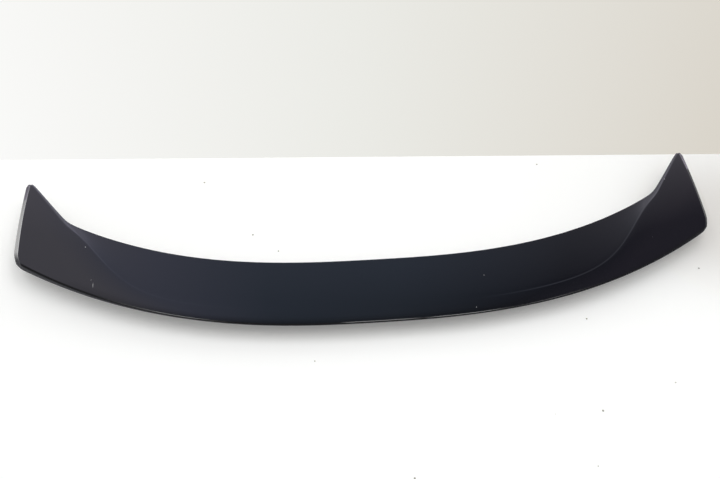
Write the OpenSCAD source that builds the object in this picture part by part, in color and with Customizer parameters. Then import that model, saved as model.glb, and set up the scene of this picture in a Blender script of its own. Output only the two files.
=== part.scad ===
/*
 Trunk lid spoiler: a gloss skin over a bonded inner panel, with foam
 tape strips and four threaded studs to hold it to the lid.
 X runs along the width, Y points to the front of the car, Z is up.
 The origin is midway between the two inner studs, near where their
 threads leave the seals.
*/

/* [Plan outline] */
// Width over both ends
overall_width = 1216; // [1192:4:1240]
// Depth of the blade at mid width
mid_chord = 134; // [128:1:142]
// How far the trailing edge sweeps forward at the ends
trailing_sweep = 163.5; // [154:0.5:172]
// How quickly the trailing sweep sets in
trailing_power = 2.62; // [2.46:0.02:2.8]
// How far the leading edge sweeps forward at the ends
leading_sweep = 164.5; // [156:0.5:172]
// How quickly the leading sweep sets in
leading_power = 2.74; // [2.6:0.02:2.9]
// Slope of the horns' straight inner edges
horn_slope = 1.34; // [1.26:0.01:1.42]
// How far inside the ends these edges reach the tips
horn_inset = 19.5; // [17:0.5:22]
// Softness of the bend between blade and horn
horn_bend = 7; // [5:0.5:12]
// Foremost point of the horn tips, forward of the inner studs
tip_reach = 261; // [257:1:265]
// Distance from the trailing edge at mid width to the inner studs
rear_reach = 70; // [66:1:74]
// How far the tips lie inside the widest point
tip_inset = 9; // [6:1:12]

/* [Heights] */
// Height of the lid surface over the origin, on the line of the inner studs
lid_height = 6.5; // [6:0.5:8]
// Rise of the lid surface for each millimetre forward
lid_slope = 0.15; // [0.13:0.01:0.16]
// Fall of the lid surface from mid width to the ends
lid_crown = 3; // [1:1:6]
// Height of the trailing edge over the origin, at mid width
lip_height = 22; // [21:0.5:24]
// Height of the horn plateau above the leading edge at the tips
horn_rise = 4; // [3.4:0.2:5]
// Height of the thin leading edge above the lid surface
nose_height = 3; // [3:0.1:4]

/* [Upper surface] */
// Depth of the trailing lip at mid width as a share of the chord
lip_share = 0.195; // [0.17:0.005:0.24]
// Where the crease leaves the trailing lip, as a share of half the width
crease_place = 0.766; // [0.748:0.002:0.784]
// How tightly the crease turns forward
crease_power = 12; // [10:0.5:14]
// Softness of the crease
crease_soft = 0.8; // [0.4:0.1:1.4]
// Hollow of the surface between crease and leading edge
scoop_power = 1.35; // [1.15:0.05:1.6]
// Steepness of the flank below the horn plateau
flank_steepness = 0.7; // [0.6:0.05:0.8]
// Bulge of the plateau as a share of its depth
plateau_bulge = 0.015; // [0:0.005:0.02]

/* [Edges] */
// Rounding of the upper edges
edge_round = 1.5; // [1:0.1:2]
// Height of the skin's trailing lip at mid width
lip_depth = 7; // [5:0.5:9]
// Lean of the rear face at mid width in degrees
rear_lean = 22; // [16:1:30]
// Lean of the rear face at the ends in degrees
rear_lean_end = 8; // [5:1:12]
// Inward lean of the end faces at the tips
side_draft = 8; // [6:0.5:9]
// Extra inward lean of the end faces at the rear corners
corner_chamfer = 4; // [2:0.5:6]
// Extra rounding of the rear edge at the ends
end_bevel = 2.5; // [1.5:0.5:3.5]

/* [Shells] */
// Wall thickness of the outer skin
skin_wall = 3; // [2.6:0.1:3.2]
// Wall thickness of the inner panel
panel_wall = 2.5; // [2.2:0.1:3]
// Glue gap between the shells
glue_gap = 0.5; // [0.4:0.1:0.7]
// Step from the skin's lower edge up to the panel underside
panel_step = 1; // [0.8:0.1:1.4]
// Distance of the panel's front edge behind the leading edge
panel_setback = 27; // [25:1:30]

/* [Studs] */
// Distance between the two inner studs
inner_spacing = 350; // [320:5:380]
// Distance of the outer studs from the ends
outer_inset = 138; // [133:1:148]
// Forward position of the outer studs
outer_forward = 78; // [75:1:81]
// How far all stud tips reach below the origin
stud_drop = 20; // [16:1:24]
// Thread diameter of the studs
stud_d = 6; // [5:1:6]
// Shoulder diameter of the studs
shoulder_d = 7; // [7:0.5:8]
// Flange diameter of the studs
flange_d = 15; // [13:1:16]
// Flange thickness of the studs
flange_t = 2.5; // [2:0.5:3]
// Outer diameter of the stud bosses
boss_d = 20; // [18:1:22]
// Height of the boss seat above the lid surface
boss_rise = 6; // [5:0.5:6.5]
// How far the bosses reach below the lid surface
boss_drop = 1; // [0.5:0.5:2]

/* [Tape and seals] */
// Width of the foam tape
tape_width = 12; // [10:1:14]
// Thickness of the foam tape
tape_thickness = 1.6; // [1.2:0.1:2]
// Gap drawn between the tape and the panel
tape_gap = 0.2; // [0.1:0.1:0.3]
// Outer diameter of the seal rings
seal_d = 20; // [18:1:22]
// Thickness of the seal rings
seal_thickness = 4; // [3:0.5:5]
// Diameter of the drain holes
drain_d = 6; // [4:1:8]

/* [Hidden] */
half_width = overall_width / 2;
// the plateau is a plane from the trailing edge to the horn tips
plateau_slope = (lid_height + lid_slope * tip_reach - lid_crown + nose_height
    + horn_rise - lip_height) / (tip_reach + rear_reach);
// facets along half the width and corners of the plan rounding
half_steps = 40;
panel_half_steps = 30;
corner_band = 0.1;
corner_cut = 8;
corner_wrap = 0.967;
corner_turn = 11;
tip_band = 0.05;
tip_cut = 3;
tip_blend = 5;
horn_slant = 0.8;
// how late the trailing lip grows to the full height of the ends
lip_growth = 4;
// diameter left free round each stud shoulder
stud_clearance = 0.6;
stud_chamfer = 1;
head_d = 10;
head_t = 3;
// inner end of the tape strips, and their gaps to the strips at the ends
tape_start = 14;
front_tape_gap = 50;
rear_tape_gap = 40;
end_tape_inset = 22;
end_tape_rear = 32;
end_tape_front = 62;
tape_margin = 4;
panel_tip_inset = 14;
// extra room between the panel and the end walls
end_play = 2;
// smallest rounding of the plateau where it meets the horn's flank
horn_blend = 1;
// how far cutting cylinders run past what they cut
cut_past = 5;
drain_places = [0.12, 0.56, 0.88];
drain_setback = 16;
fine = 64;
skin_color = [0.05, 0.05, 0.06];
panel_color = [0.10, 0.10, 0.11];
tape_color = [0.16, 0.16, 0.17];
steel_color = [0.72, 0.73, 0.75];
foam_color = [0.22, 0.22, 0.23];

// plan curves, as functions of the distance from mid width
function share(x) = abs(x) / half_width;
function softer(a, b, k) = (a + b - sqrt((a - b) * (a - b) + k * k)) / 2;
function bigger(a, b, k) = (a + b + sqrt((a - b) * (a - b) + k * k)) / 2;
function trail_y(x) =
    let (q = share(x), w = max(0, (q - corner_wrap) / (1 - corner_wrap)))
    trailing_sweep * pow(q, trailing_power) + corner_turn * w * w - rear_reach;
function blade_y(x) = mid_chord + leading_sweep * pow(share(x), leading_power) - rear_reach;
function horn_y(x) = tip_reach + horn_slope * (abs(x) - half_width + horn_inset);
function raw_lead_y(x) = bigger(blade_y(x), horn_y(x), horn_bend);
function lead_y(x, reach) = softer(raw_lead_y(x), reach, tip_blend);
function side_x(v) =
    let (tip = max(0, (v - 1 + tip_band) / tip_band), corner = max(0, 1 - v / corner_band))
    half_width - tip_inset * v * v - tip_cut * tip * tip - corner_cut * corner * corner;

// the lid surface that the spoiler is fitted to
function lid_z(x, y) = lid_height + lid_slope * y - lid_crown * share(x) * share(x);

// heights of the plateau plane and of the leading edge
function plane_z(y) = lip_height + plateau_slope * (y + rear_reach);
function nose_z(x) = lid_z(x, lead_y(x, tip_reach)) + nose_height;

// the crease, as a share of the chord: along the horns an even flank falls from it
function horn_v(x) =
    let (b = lead_y(x, tip_reach))
    1 - (plane_z(b) - nose_z(x)) / (flank_steepness * (b - trail_y(x)));
function crease_v(x) =
    horn_v(x) - (horn_v(x) - lip_share) * exp(-pow(share(x) / crease_place, crease_power));
function crease_z(x) =
    let (
        a = trail_y(x),
        b = lead_y(x, tip_reach),
        c = crease_v(x),
        plane = plane_z(a + c * (b - a)) - nose_z(x),
        flank = flank_steepness * (1 - c) * (b - a)
    )
    nose_z(x) + softer(plane, flank, horn_blend);
function plateau_z(x, v) =
    let (
        a = trail_y(x),
        c = crease_v(x),
        depth = c * (lead_y(x, tip_reach) - a),
        w = v / c,
        hump = w < 1 ? 4 * w * (1 - w) : 0
    )
    plane_z(a) + (crease_z(x) - plane_z(a)) * w + plateau_bulge * depth * hump;
function scoop_z(x, v) =
    nose_z(x) + (crease_z(x) - nose_z(x)) * pow((1 - v) / (1 - crease_v(x)), scoop_power);
function top_z(x, y) =
    let (
        a = trail_y(x),
        b = lead_y(x, tip_reach),
        v = min(1, max(0, (y - a) / (b - a)))
    )
    softer(plateau_z(x, v), scoop_z(x, v), crease_soft);

// height of the rear face, lean of the rear and end faces, and rear rounding
function rear_height(x) = plane_z(trail_y(x)) - lid_z(x, trail_y(x));
function lean(x) =
    let (e = pow(share(x), 4))
    tan(rear_lean * (1 - e) + rear_lean_end * e);
function side_lean(v) = side_draft + corner_chamfer * (1 - v);
function bevel(u) = edge_round + end_bevel * pow(u, 6);

// setbacks from the leading edge grow along the horns, which slant across it
function horn_gain(x) = 1 + horn_slant * pow(share(x), 6);

// plan position of a grid point, moved in from the sides, the rear and the front
function plan(u, v, side, rear, front, reach) =
    let (
        x = u * (side_x(v) - side),
        a = trail_y(x) + rear,
        b = lead_y(x, reach) - front * horn_gain(x)
    )
    [x, a + v * (b - a)];

// columns are closer together towards the ends
function columns(n) = [for (i = [-n : n]) sin(90 * i / n)];
skin_columns = columns(half_steps);
panel_columns = columns(panel_half_steps);
plateau_rows = [0, 0.03, 0.08, 0.18, 0.38, 0.6, 0.8, 0.92];
scoop_rows = [0, 0.06, 0.13, 0.24, 0.4, 0.56, 0.72, 0.88, 1];
function row_v(x, k) =
    k < len(plateau_rows)
    ? crease_v(x) * plateau_rows[k]
    : crease_v(x) + (1 - crease_v(x)) * scoop_rows[k - len(plateau_rows)];
skin_rows = len(plateau_rows) + len(scoop_rows);
panel_rows = [0, 0.1, 0.25, 0.4, 0.55, 0.7, 0.82, 0.92, 1];

// skin points
function skin_v(u, k) = row_v(u * half_width, k);
function skin_point(u, v, side, rear, front, drop) =
    let (p = plan(u, v, side_lean(v) + side, rear, front, tip_reach))
    [p[0], p[1], top_z(p[0], p[1]) - drop];
function lower_edge(u, v, wall) =
    let (
        x0 = u * side_x(v),
        full = rear_height(x0),
        depth = v > 0 ? 0 : lip_depth + (full - lip_depth) * pow(share(x0), lip_growth),
        p = plan(u, v, wall, depth * lean(x0) * (1 - v) + wall, wall, tip_reach),
        low = lid_z(p[0], p[1]),
        high = plane_z(trail_y(x0)) - depth
    )
    [p[0], p[1], v > 0 ? low : max(low, high)];

// loop round the rim of a grid with n columns and m rows
function loop(n, m) = concat(
    [for (i = [0 : n - 1]) [i, 0]],
    [for (j = [1 : m - 1]) [n - 1, j]],
    [for (i = [n - 2 : -1 : 0]) [i, m - 1]],
    [for (j = [m - 2 : -1 : 1]) [0, j]]
);

// closed shell between an upper grid, a run of rings and a lower grid
module shell(upper, rings, lower, n, m) {
    rim = loop(n, m);
    count = len(rim);
    grid = n * m;
    ring_base = grid;
    lower_base = grid + len(rings) * count;
    function upper_id(k) = rim[k % count][1] * n + rim[k % count][0];
    function lower_id(k) = lower_base + upper_id(k);
    function ring_id(r, k) =
        r < 0 ? upper_id(k)
        : r == len(rings) ? lower_id(k)
        : ring_base + r * count + k % count;
    tops = [for (j = [0 : m - 2], i = [0 : n - 2]) each
        let (a = j * n + i, b = a + 1, c = a + n + 1, d = a + n)
        [[a, c, b], [a, d, c]]];
    bottoms = [for (j = [0 : m - 2], i = [0 : n - 2]) each
        let (a = lower_base + j * n + i, b = a + 1, c = a + n + 1, d = a + n)
        [[a, b, c], [a, c, d]]];
    bands = [for (r = [-1 : len(rings) - 1], k = [0 : count - 1]) each
        let (a = ring_id(r, k), b = ring_id(r, k + 1), c = ring_id(r + 1, k + 1), d = ring_id(r + 1, k))
        [[a, b, c], [a, c, d]]];
    polyhedron(
        points = concat(upper, [for (ring = rings) each ring], lower),
        faces = concat(tops, bands, bottoms),
        convexity = 10
    );
}

// gloss outer skin with the creased upper surface, lip, end faces and nose
module outer_skin() {
    n = len(skin_columns);
    m = skin_rows;
    rim = loop(n, m);
    uv = [for (c = rim) [skin_columns[c[0]], skin_v(skin_columns[c[0]], c[1])]];
    upper = [for (j = [0 : m - 1], u = skin_columns)
        skin_point(u, skin_v(u, j), edge_round, bevel(u), edge_round, 0)];
    lower = [for (j = [0 : m - 1], u = skin_columns)
        skin_point(u, skin_v(u, j), skin_wall, skin_wall, skin_wall, skin_wall)];
    arc = 1 - sqrt(0.5);
    soft = edge_round * arc;
    rings = [
        [for (p = uv) skin_point(p[0], p[1], soft, bevel(p[0]) * arc, soft, soft)],
        [for (p = uv) skin_point(p[0], p[1], 0, 0, 0, edge_round)],
        [for (p = uv) lower_edge(p[0], p[1], 0)],
        [for (p = uv) lower_edge(p[0], p[1], skin_wall)]
    ];
    color(skin_color) shell(upper, rings, lower, n, m);
}

// panel points: bottom, rim top and floor top, moved in by an extra amount
function rear_set(x, drop) = drop * lean(x) + skin_wall + glue_gap;
function panel_low(u, v, extra, lift) =
    let (
        side = skin_wall + panel_step + end_play + extra,
        x0 = u * (side_x(v) - side),
        p = plan(u, v, side, rear_set(x0, rear_height(x0)) + extra,
            panel_setback + extra, tip_reach - panel_tip_inset)
    )
    [p[0], p[1], lid_z(p[0], p[1]) + panel_step + lift];
function panel_rim(u, v, extra) =
    let (
        side = side_lean(v) + skin_wall + end_play + extra,
        x0 = u * (side_x(v) - side),
        p = plan(u, v, side, rear_set(x0, skin_wall + glue_gap) + extra,
            panel_setback + extra, tip_reach - panel_tip_inset)
    )
    [p[0], p[1], top_z(p[0], p[1]) - skin_wall - glue_gap];

module panel_tray() {
    n = len(panel_columns);
    m = len(panel_rows);
    rim = loop(n, m);
    uv = [for (c = rim) [panel_columns[c[0]], panel_rows[c[1]]]];
    upper = [for (v = panel_rows, u = panel_columns) panel_low(u, v, panel_wall, panel_wall)];
    lower = [for (v = panel_rows, u = panel_columns) panel_low(u, v, 0, 0)];
    rings = [
        [for (p = uv) panel_rim(p[0], p[1], panel_wall)],
        [for (p = uv) panel_rim(p[0], p[1], 0)]
    ];
    shell(upper, rings, lower, n, m);
}

// stud places and the heights that belong to them
inner_place = [inner_spacing / 2, 0];
outer_place = [half_width - outer_inset, outer_forward];
function boss_low(p) = lid_z(p[0], p[1]) - boss_drop;
function boss_top(p) = lid_z(p[0], p[1]) + boss_rise;
bore_d = shoulder_d + stud_clearance;

module stud_boss(p) {
    translate([p[0], p[1], boss_low(p)])
        cylinder(h = boss_top(p) - boss_low(p), d = boss_d, $fn = fine);
}

module stud_bore(p) {
    translate([p[0], p[1], boss_low(p) - cut_past])
        cylinder(h = boss_rise + boss_drop + 2 * cut_past, d = bore_d, $fn = fine);
}

function drain_place(s) =
    let (x = s * half_width)
    [x, trail_y(x) + rear_set(x, rear_height(x)) + tape_width + drain_setback];

// matt inner panel: a tray with a glue rim, stud bosses and drain holes
module inner_panel() {
    places = [for (side = [-1, 1], p = [inner_place, outer_place]) [side * p[0], p[1]]];
    color(panel_color)
    difference() {
        union() {
            panel_tray();
            for (p = places) stud_boss(p);
        }
        for (p = places) stud_bore(p);
        for (side = [-1, 1], s = drain_places)
            translate([side * drain_place(s)[0], drain_place(s)[1], -cut_past])
                cylinder(h = 3 * lip_height, d = drain_d, $fn = fine);
    }
}

// foam tape strip along a line of plan points with their side directions
module strip(line) {
    n = len(line);
    top = panel_step - tape_gap;
    points = [for (s = line, e = [[-1, 0], [1, 0], [1, 1], [-1, 1]])
        let (p = [s[0], s[1]] + e[0] * tape_width / 2 * [s[2], s[3]])
        [p[0], p[1], lid_z(p[0], p[1]) + top - tape_thickness * (1 - e[1])]];
    sides = [for (i = [0 : n - 2], k = [0 : 3]) each
        let (a = 4 * i + k, b = 4 * i + (k + 1) % 4, c = b + 4, d = a + 4)
        [[a, b, c], [a, c, d]]];
    last = 4 * (n - 1);
    caps = [[0, 2, 1], [0, 3, 2], [last, last + 1, last + 2], [last, last + 2, last + 3]];
    color(tape_color) polyhedron(points = points, faces = concat(sides, caps), convexity = 6);
}

strip_steps = 20;
end_strip_side = half_width - end_tape_inset - tape_width / 2;
front_tape_reach = end_strip_side - front_tape_gap;
rear_tape_reach = end_strip_side - rear_tape_gap;
function front_line_y(x) =
    lead_y(x, tip_reach) - (panel_setback + tape_margin + tape_width / 2) * horn_gain(x);
function rear_line_y(x) =
    trail_y(x) + rear_set(x, rear_height(x)) + tape_margin + tape_width / 2;

module tape_front(side) {
    mirror([side < 0 ? 1 : 0, 0, 0])
    strip([for (i = [0 : strip_steps])
        let (x = tape_start + (front_tape_reach - tape_start) * i / strip_steps)
        [x, front_line_y(x), 0, -1]]);
}

module tape_rear(side) {
    mirror([side < 0 ? 1 : 0, 0, 0])
    strip([for (i = [0 : strip_steps])
        let (x = tape_start + (rear_tape_reach - tape_start) * i / strip_steps)
        [x, rear_line_y(x), 0, -1]]);
}

module tape_end(side) {
    low = trail_y(half_width - end_tape_inset) + end_tape_rear;
    high = tip_reach - end_tape_front;
    mirror([side < 0 ? 1 : 0, 0, 0])
    strip([for (i = [0 : 8])
        let (y = low + (high - low) * i / 8)
        [half_width - end_tape_inset, y, 1, 0]]);
}

// threaded stud: head and flange inside, shoulder through boss and seal, thread below
module stud(side, place) {
    p = [side * place[0], place[1]];
    seat = boss_top(place);
    shoulder = boss_low(place) - tape_gap - seal_thickness;
    color(steel_color)
    translate([p[0], p[1], 0])
    rotate_extrude($fn = fine)
    polygon([
        [0, -stud_drop],
        [stud_d / 2 - stud_chamfer, -stud_drop],
        [stud_d / 2, stud_chamfer - stud_drop],
        [stud_d / 2, shoulder],
        [shoulder_d / 2, shoulder],
        [shoulder_d / 2, seat],
        [flange_d / 2, seat],
        [flange_d / 2, seat + flange_t],
        [head_d / 2, seat + flange_t],
        [head_d / 2, seat + flange_t + head_t],
        [0, seat + flange_t + head_t]
    ]);
}

// foam seal ring round a stud shoulder, under its boss
module seal(side, place) {
    top = boss_low(place) - tape_gap;
    color(foam_color)
    translate([side * place[0], place[1], top - seal_thickness])
    difference() {
        cylinder(h = seal_thickness, d = seal_d, $fn = fine);
        translate([0, 0, -cut_past])
            cylinder(h = seal_thickness + 2 * cut_past, d = bore_d, $fn = fine);
    }
}

outer_skin();
inner_panel();
tape_front(-1);  // tape_front_left
tape_front(1);  // tape_front_right
tape_rear(-1);  // tape_rear_left
tape_rear(1);  // tape_rear_right
tape_end(-1);  // tape_end_left
tape_end(1);  // tape_end_right
stud(-1, inner_place);  // stud_inner_left
stud(1, inner_place);  // stud_inner_right
stud(-1, outer_place);  // stud_outer_left
stud(1, outer_place);  // stud_outer_right
seal(-1, inner_place);  // seal_inner_left
seal(1, inner_place);  // seal_inner_right
seal(-1, outer_place);  // seal_outer_left
seal(1, outer_place);  // seal_outer_right
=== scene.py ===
# %% [markdown]
# # A gloss black trunk spoiler
# This script dresses the frame of a trunk lid spoiler and sets it on a pale
# table. The spoiler is one black lacquered moulding with a crease that runs
# along the trailing lip and then turns forward into two horns. A matt panel,
# foam tape and threaded studs are hidden under it. Every object is in metres.

import math

import bpy
import numpy as np
from mathutils import Matrix, Vector


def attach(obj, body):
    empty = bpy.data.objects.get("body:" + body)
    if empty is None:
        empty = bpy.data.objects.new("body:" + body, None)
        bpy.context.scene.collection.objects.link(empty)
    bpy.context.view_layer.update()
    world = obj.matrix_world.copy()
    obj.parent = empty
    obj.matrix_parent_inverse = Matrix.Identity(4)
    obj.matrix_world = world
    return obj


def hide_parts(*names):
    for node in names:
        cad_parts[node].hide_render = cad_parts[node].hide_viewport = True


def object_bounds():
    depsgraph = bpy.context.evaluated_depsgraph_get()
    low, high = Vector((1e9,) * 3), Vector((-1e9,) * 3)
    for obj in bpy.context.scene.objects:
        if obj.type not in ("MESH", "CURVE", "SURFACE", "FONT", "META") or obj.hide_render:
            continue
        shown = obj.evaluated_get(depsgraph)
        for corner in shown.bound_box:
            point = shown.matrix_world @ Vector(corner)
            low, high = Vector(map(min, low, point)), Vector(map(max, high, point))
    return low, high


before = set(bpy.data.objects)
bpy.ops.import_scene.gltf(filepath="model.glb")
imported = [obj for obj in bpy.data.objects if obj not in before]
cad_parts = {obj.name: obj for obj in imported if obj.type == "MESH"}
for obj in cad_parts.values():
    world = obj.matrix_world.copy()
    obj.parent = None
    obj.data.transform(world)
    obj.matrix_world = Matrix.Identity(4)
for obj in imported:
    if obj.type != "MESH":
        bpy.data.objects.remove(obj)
cad_low, cad_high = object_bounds()
print("CAD nodes", len(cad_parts))
print("CAD box from", [round(v, 4) for v in cad_low], "to", [round(v, 4) for v in cad_high])

# %% [markdown]
# ## The camera
# The photograph looks down at 49 degrees from a little to the left of the
# middle. The object in it is wide and shallow, so the lens decides how much
# smaller the far tips look: 50 mm on a 36 mm sensor. The camera's three axes
# are worked out from the pitch, the turn and a small roll, and become the
# columns of its matrix.

# %% Camera
CAMERA_PLACE = Vector((-0.1488, -1.0253, 1.3336))
CAMERA_PITCH = math.radians(49)
CAMERA_TURN = math.radians(-6.612)
CAMERA_ROLL = math.radians(1.898)
LENS_MM, SENSOR_MM, FAR_CLIP = 50, 36, 50

forward = Vector((
    -math.sin(CAMERA_TURN) * math.cos(CAMERA_PITCH),
    math.cos(CAMERA_TURN) * math.cos(CAMERA_PITCH),
    -math.sin(CAMERA_PITCH),
))
level = Vector((math.cos(CAMERA_TURN), math.sin(CAMERA_TURN), 0))
upward = level.cross(forward)
side = math.cos(CAMERA_ROLL) * level + math.sin(CAMERA_ROLL) * upward
upward = math.cos(CAMERA_ROLL) * upward - math.sin(CAMERA_ROLL) * level

camera_data = bpy.data.cameras.new("camera")
camera_data.lens = LENS_MM
camera_data.sensor_width = SENSOR_MM
camera_data.clip_end = FAR_CLIP
camera = bpy.data.objects.new("camera", camera_data)
turn = Matrix((side, upward, -forward)).transposed()
camera.matrix_world = Matrix.Translation(CAMERA_PLACE) @ turn.to_4x4()
bpy.context.scene.collection.objects.link(camera)
bpy.context.scene.camera = camera
bpy.context.scene.view_settings.view_transform = "Standard"
print("camera looks along", [round(v, 3) for v in forward])

# %% [markdown]
# ## The curves of the moulding
# The outline and the upper surface follow a few rules, the same that the
# construction uses. Two power curves give the trailing and the leading edge
# in plan. A plane rises from the lip to the horn tips, and a hollow runs down
# to the thin leading edge. Where the two meet lies the crease. Lengths here
# are in millimetres, and become metres when the mesh is made.

# %% Sizes of the moulding
HALF_WIDTH = 608.0
MID_CHORD = 134.0
TRAILING_SWEEP, TRAILING_POWER = 163.5, 2.62
LEADING_SWEEP, LEADING_POWER = 164.5, 2.74
HORN_SLOPE, HORN_INSET, HORN_BEND = 1.34, 19.5, 7.0
HORN_SLANT, HORN_SLANT_POWER = 0.8, 6
TIP_REACH, TIP_INSET, TIP_BAND, TIP_CUT, TIP_BLEND = 261.0, 9.0, 0.05, 3.0, 5.0
CORNER_BAND, CORNER_CUT, CORNER_WRAP, CORNER_TURN = 0.1, 8.0, 0.967, 11.0
REAR_REACH = 70.0
LID_HEIGHT, LID_SLOPE, LID_CROWN = 6.5, 0.15, 3.0
LIP_HEIGHT, HORN_RISE, NOSE_HEIGHT = 22.0, 4.0, 3.0
LIP_SHARE, CREASE_PLACE, CREASE_POWER = 0.195, 0.766, 12.0
CREASE_SOFT, SCOOP_POWER, FLANK_STEEPNESS, HORN_BLEND = 0.8, 1.35, 0.7, 1.0
STEP_DROP, STEP_WIDTH, STEP_FADE = 0.45, 3.2, 0.5
PLATEAU_BULGE = 0.015
EDGE_ROUND, END_BEVEL, BEVEL_POWER = 1.5, 2.5, 6
LIP_DEPTH, LIP_GROWTH = 7.0, 4
REAR_LEAN, REAR_LEAN_END, LEAN_POWER = 22.0, 8.0, 4
SIDE_DRAFT, CORNER_CHAMFER = 8.0, 4.0
SKIN_WALL = 3.0
PANEL_WALL, GLUE_GAP, PANEL_STEP, PANEL_SETBACK = 2.5, 0.5, 1.0, 27.0
END_PLAY, PANEL_TIP_INSET = 2.0, 14.0
PLATEAU_SLOPE = (
    LID_HEIGHT + LID_SLOPE * TIP_REACH - LID_CROWN + NOSE_HEIGHT + HORN_RISE - LIP_HEIGHT
) / (TIP_REACH + REAR_REACH)
print("the plateau rises", round(PLATEAU_SLOPE * 100, 2), "mm for each 100 mm forward")


# %% Plan curves and the lid below
def share(x):
    """Distance from the middle, as a share of the half width."""
    return np.abs(x) / HALF_WIDTH


def softer(a, b, k):
    """The smaller of two values, with the corner between them rounded."""
    return (a + b - np.sqrt((a - b) ** 2 + k * k)) / 2


def bigger(a, b, k):
    """The larger of two values, rounded in the same way."""
    return (a + b + np.sqrt((a - b) ** 2 + k * k)) / 2


def trail_y(x):
    wrap = np.maximum(0, (share(x) - CORNER_WRAP) / (1 - CORNER_WRAP))
    return TRAILING_SWEEP * share(x) ** TRAILING_POWER + CORNER_TURN * wrap * wrap - REAR_REACH


def lead_y(x, reach=TIP_REACH):
    blade = MID_CHORD + LEADING_SWEEP * share(x) ** LEADING_POWER - REAR_REACH
    horn = TIP_REACH + HORN_SLOPE * (np.abs(x) - HALF_WIDTH + HORN_INSET)
    return softer(bigger(blade, horn, HORN_BEND), reach, TIP_BLEND)


def side_x(v):
    """Half width at a share v of the chord, narrower at the tip and at the rear corner."""
    tip = np.maximum(0, (v - 1 + TIP_BAND) / TIP_BAND)
    corner = np.maximum(0, 1 - v / CORNER_BAND)
    return HALF_WIDTH - TIP_INSET * v * v - TIP_CUT * tip * tip - CORNER_CUT * corner * corner


def lid_z(x, y):
    return LID_HEIGHT + LID_SLOPE * y - LID_CROWN * share(x) ** 2


def horn_gain(x):
    """Insets from the slanting side of a horn grow by this much along y."""
    return 1 + HORN_SLANT * share(x) ** HORN_SLANT_POWER


# %% Heights of the upper surface
def plane_z(y):
    return LIP_HEIGHT + PLATEAU_SLOPE * (y + REAR_REACH)


def nose_z(x):
    return lid_z(x, lead_y(x)) + NOSE_HEIGHT


def crease_v(x):
    """Where the crease lies, as a share of the chord."""
    end = lead_y(x)
    horn_share = 1 - (plane_z(end) - nose_z(x)) / (FLANK_STEEPNESS * (end - trail_y(x)))
    turn_forward = 1 - np.exp(-((share(x) / CREASE_PLACE) ** CREASE_POWER))
    return LIP_SHARE + (horn_share - LIP_SHARE) * turn_forward


def crease_z(x):
    rear, front, crease = trail_y(x), lead_y(x), crease_v(x)
    plane = plane_z(rear + crease * (front - rear)) - nose_z(x)
    flank = FLANK_STEEPNESS * (1 - crease) * (front - rear)
    return nose_z(x) + softer(plane, flank, HORN_BLEND)


def fine_step(x, v):
    """A fine step in front of the crease, which fades towards mid width and the nose."""
    rear, front, crease = trail_y(x), lead_y(x), crease_v(x)
    past = np.clip((v - crease) * (front - rear) / STEP_WIDTH, 0, 1)
    fade = np.clip(share(x) / STEP_FADE, 0, 1) ** 2
    left = np.clip((1 - v) / (1 - crease), 0, 1)
    return STEP_DROP * fade * past * past * (3 - 2 * past) * left


def top_z(x, y):
    """The upper surface: the plateau up to the crease, and the scoop in front of it."""
    rear, front, crease = trail_y(x), lead_y(x), crease_v(x)
    v = np.clip((y - rear) / (front - rear), 0, 1)
    way = v / crease
    hump = np.where(way < 1, 4 * way * (1 - way), 0)
    bulge = PLATEAU_BULGE * crease * (front - rear) * hump
    plateau = plane_z(rear) + (crease_z(x) - plane_z(rear)) * way + bulge
    fall = ((1 - v) / (1 - crease)) ** SCOOP_POWER
    scoop = nose_z(x) + (crease_z(x) - nose_z(x)) * fall
    return softer(plateau, scoop, CREASE_SOFT) - fine_step(x, v)


lip_top = float(top_z(np.array(0.0), np.array(-REAR_REACH)))
print("trailing lip stands", round(lip_top, 1), "mm over the origin")

# %% [markdown]
# ## A closed shell from two grids
# The skin and the panel under it are both thin shells: an upper grid, a lower
# grid, and a band of rings that joins their rims. A helper makes the mesh from
# these, with every face pointing outwards, and measures its volume, which is
# positive only when they do.


# %% Shell helper
def rim_cells(columns, rows):
    """The cells of a grid's rim as (column, row), all the way round."""
    return (
        [(i, 0) for i in range(columns)]
        + [(columns - 1, j) for j in range(1, rows)]
        + [(i, rows - 1) for i in range(columns - 2, -1, -1)]
        + [(0, j) for j in range(rows - 2, 0, -1)]
    )


def shell_object(name, upper, rings, lower):
    """A closed shell from two grids and the rings between their rims, in millimetres."""
    rows, columns = upper.shape[:2]
    rim = rim_cells(columns, rows)
    count = len(rim)
    grid = rows * columns
    points = np.concatenate([upper.reshape(-1, 3), *rings, lower.reshape(-1, 3)]) / 1000
    upper_rim = np.array([j * columns + i for i, j in rim])
    lower_base = grid + count * len(rings)
    loops = [upper_rim]
    loops += [grid + r * count + np.arange(count) for r in range(len(rings))]
    loops += [lower_base + upper_rim]
    cells = np.arange(grid).reshape(rows, columns)
    a, b, c, d = cells[:-1, :-1], cells[:-1, 1:], cells[1:, 1:], cells[1:, :-1]
    tops = np.stack([a, b, c, d], -1).reshape(-1, 4)
    faces = [tops, lower_base + tops[:, ::-1]]
    for high, low in zip(loops[:-1], loops[1:]):
        faces.append(np.stack([high, low, np.roll(low, -1), np.roll(high, -1)], -1))
    mesh = bpy.data.meshes.new(name)
    mesh.from_pydata(points.tolist(), [], np.concatenate(faces).tolist())
    mesh.shade_smooth()
    mesh.update()
    piece = bpy.data.objects.new(name, mesh)
    bpy.context.scene.collection.objects.link(piece)
    return piece


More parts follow.
